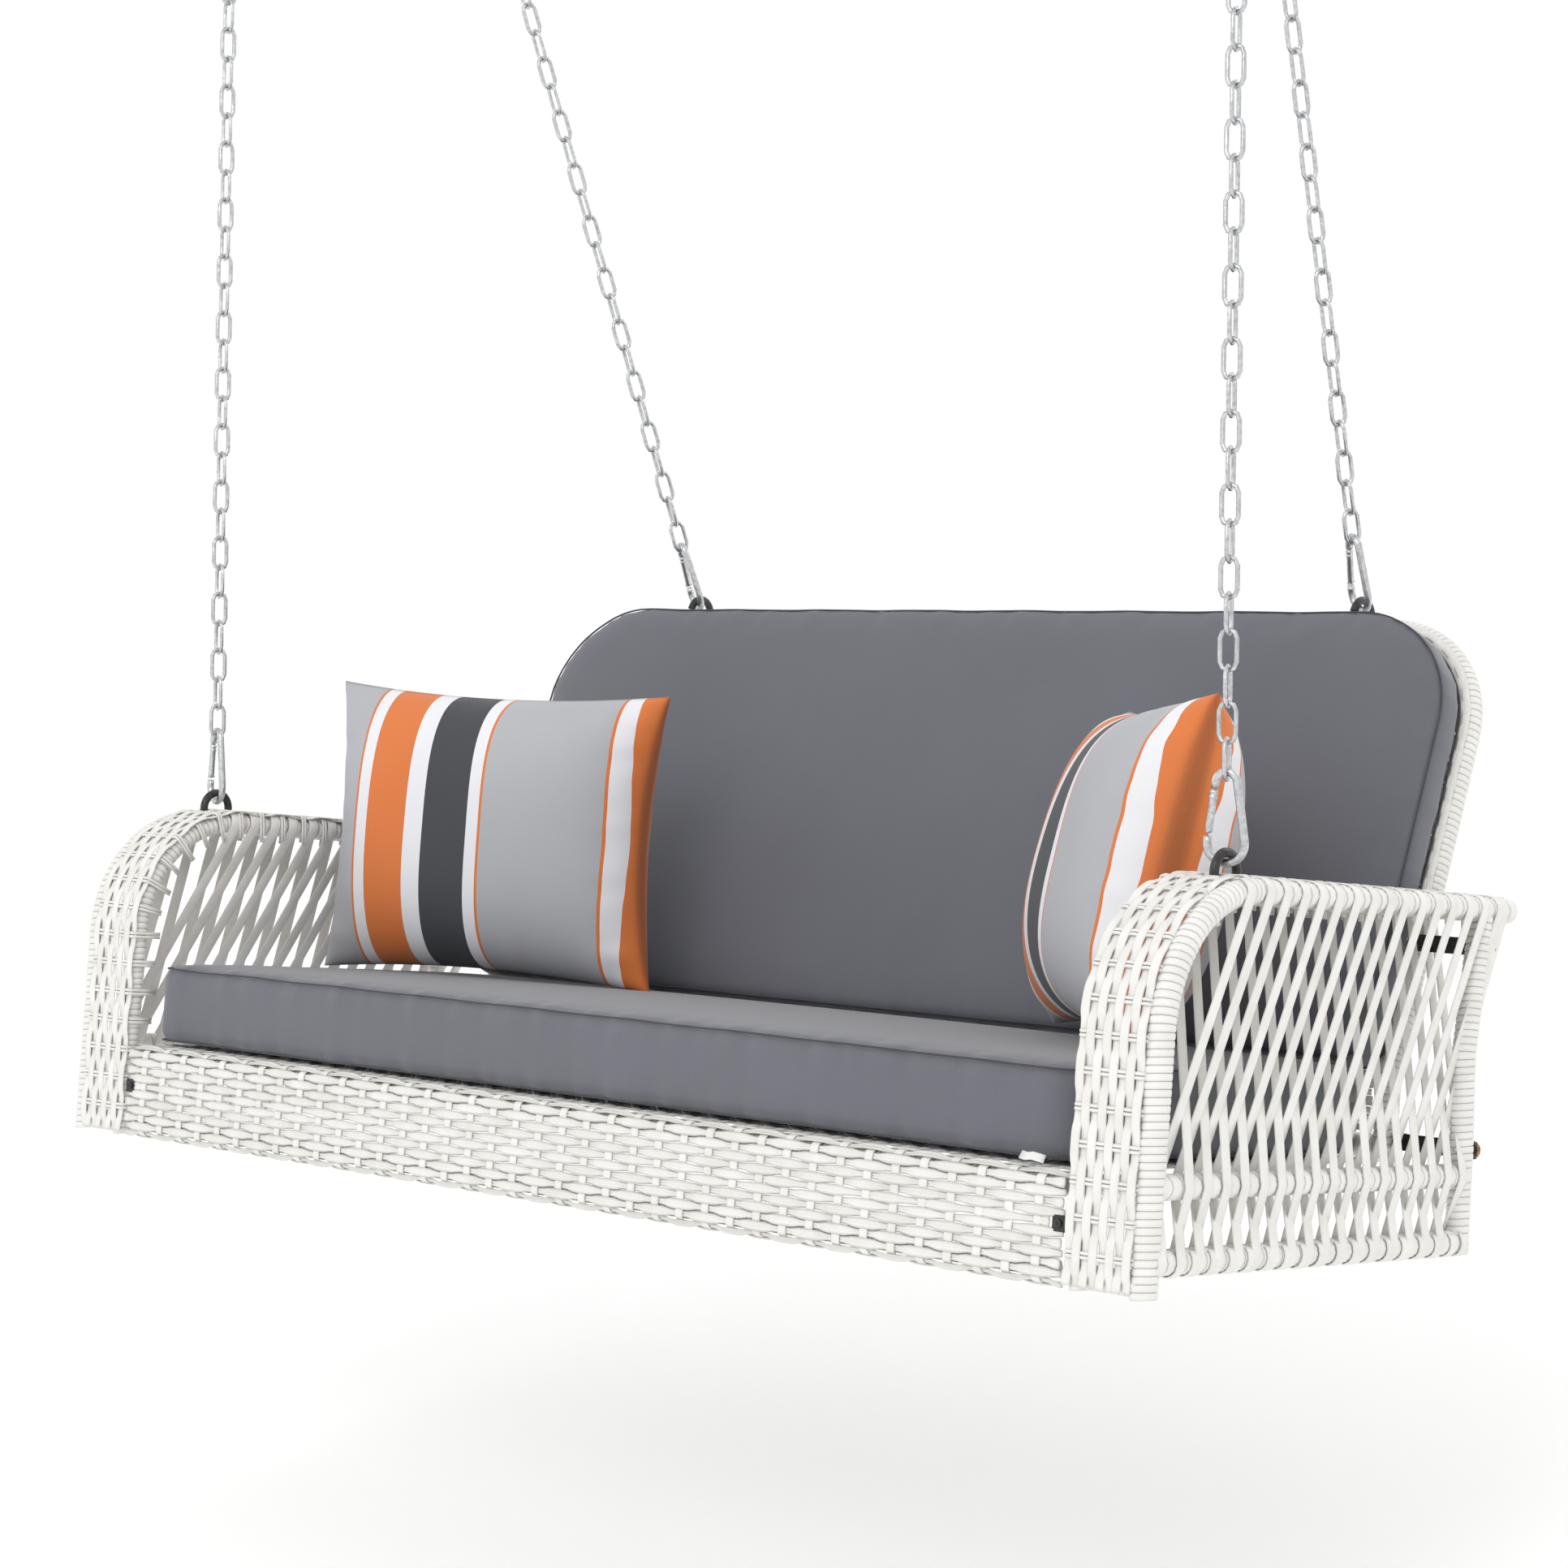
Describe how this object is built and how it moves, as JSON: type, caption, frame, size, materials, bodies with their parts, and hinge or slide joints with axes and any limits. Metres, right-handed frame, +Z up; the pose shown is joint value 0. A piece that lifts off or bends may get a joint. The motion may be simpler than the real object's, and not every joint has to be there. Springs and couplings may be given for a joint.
{
  "type": "hanging porch swing seat",
  "caption": "Two-seat hanging porch swing bench in woven wicker with lattice arms, loose seat and back cushions, striped pillows and link chains to ceiling plates.",
  "frame": {"origin": "on the ceiling, midway between the two ceiling plates", "axes": "+Z up, +Y towards the back of the seat, +X towards the left hand of the person sitting on it"},
  "size_m": [1.3184, 0.7519, 2.0225],
  "materials": {
    "wicker": "off-white flat resin wicker strands, satin",
    "wrapped_tube": "white steel tube wound with off-white resin wicker",
    "black_steel": "black powder-coated steel, half gloss",
    "zinc_steel": "bright zinc-plated steel, lightly mottled",
    "bolt_brass": "yellow-brown passivated dome bolts",
    "cushion_fabric": "slate grey woven polyester",
    "pillow_fabric": "woven polyester printed with light grey, white, orange and charcoal stripes"
  },
  "bodies": {
    "ceiling_hangers": {"ceiling_plate_left": "zinc_steel", "ceiling_eye_front_left": "zinc_steel", "ceiling_screw_front_left": "zinc_steel", "ceiling_eye_rear_left": "zinc_steel", "ceiling_screw_rear_left": "zinc_steel", "ceiling_plate_right": "zinc_steel", "ceiling_eye_front_right": "zinc_steel", "ceiling_screw_front_right": "zinc_steel", "ceiling_eye_rear_right": "zinc_steel", "ceiling_screw_rear_right": "zinc_steel"},
    "swing_seat": {"arm_frame_left": "wrapped_tube", "arm_weave_left": "wicker", "side_lattice_left": "wicker", "apron_bracket_left": "black_steel", "apron_screw_left": "black_steel", "back_lug_upper_left": "black_steel", "back_bolt_upper_left": "bolt_brass", "back_lug_lower_left": "black_steel", "back_bolt_lower_left": "bolt_brass", "eye_front_left": "black_steel", "carabiner_body_front_left": "zinc_steel", "carabiner_pin_front_left": "zinc_steel", "chain_front_left": "zinc_steel", "eye_rear_left": "black_steel", "carabiner_body_rear_left": "zinc_steel", "carabiner_pin_rear_left": "zinc_steel", "chain_rear_left": "zinc_steel", "arm_frame_right": "wrapped_tube", "arm_weave_right": "wicker", "side_lattice_right": "wicker", "apron_bracket_right": "black_steel", "apron_screw_right": "black_steel", "back_lug_upper_right": "black_steel", "back_bolt_upper_right": "bolt_brass", "back_lug_lower_right": "black_steel", "back_bolt_lower_right": "bolt_brass", "eye_front_right": "black_steel", "carabiner_body_front_right": "zinc_steel", "carabiner_pin_front_right": "zinc_steel", "chain_front_right": "zinc_steel", "eye_rear_right": "black_steel", "carabiner_body_rear_right": "zinc_steel", "carabiner_pin_rear_right": "zinc_steel", "chain_rear_right": "zinc_steel", "seat_frame": "wrapped_tube", "apron_weave": "wicker", "seat_deck": "wicker", "back_frame": "wrapped_tube", "back_weave": "wicker", "seat_cushion": "cushion_fabric", "back_cushion": "cushion_fabric", "pillow_left": "pillow_fabric", "pillow_right": "pillow_fabric"},
    "gate_front_left": {"carabiner_gate_front_left": "zinc_steel"},
    "gate_rear_left": {"carabiner_gate_rear_left": "zinc_steel"},
    "gate_front_right": {"carabiner_gate_front_right": "zinc_steel"},
    "gate_rear_right": {"carabiner_gate_rear_right": "zinc_steel"}
  },
  "joints": [
    {"name": "swing", "type": "hinge", "parent": "ceiling_hangers", "child": "swing_seat", "pos_m": [0, 0, -0.048], "axis": [1, 0, 0], "range_deg": [-25, 25]},
    {"name": "gate_front_left", "type": "hinge", "parent": "swing_seat", "child": "gate_front_left", "pos_m": [0.60696, -0.17844, -1.60836], "axis": [-0.2915, 0.9504, -0.1089], "range_deg": [0, 16], "stiffness_Nm_per_rad": 0.02, "springref_deg": -17.19},
    {"name": "gate_rear_left", "type": "hinge", "parent": "swing_seat", "child": "gate_rear_left", "pos_m": [0.41355, 0.36594, -1.45505], "axis": [0.4972, 0.8478, 0.1846], "range_deg": [0, 16], "stiffness_Nm_per_rad": 0.02, "springref_deg": -17.19},
    {"name": "gate_front_right", "type": "hinge", "parent": "swing_seat", "child": "gate_front_right", "pos_m": [-0.63443, -0.17009, -1.60903], "axis": [0.2915, 0.9504, -0.1089], "range_deg": [0, 16], "stiffness_Nm_per_rad": 0.02, "springref_deg": -17.19},
    {"name": "gate_rear_right", "type": "hinge", "parent": "swing_seat", "child": "gate_rear_right", "pos_m": [-0.4385, 0.36614, -1.45657], "axis": [0.485, 0.8396, 0.2446], "range_deg": [0, 16], "stiffness_Nm_per_rad": 0.02, "springref_deg": -17.19}
  ]
}
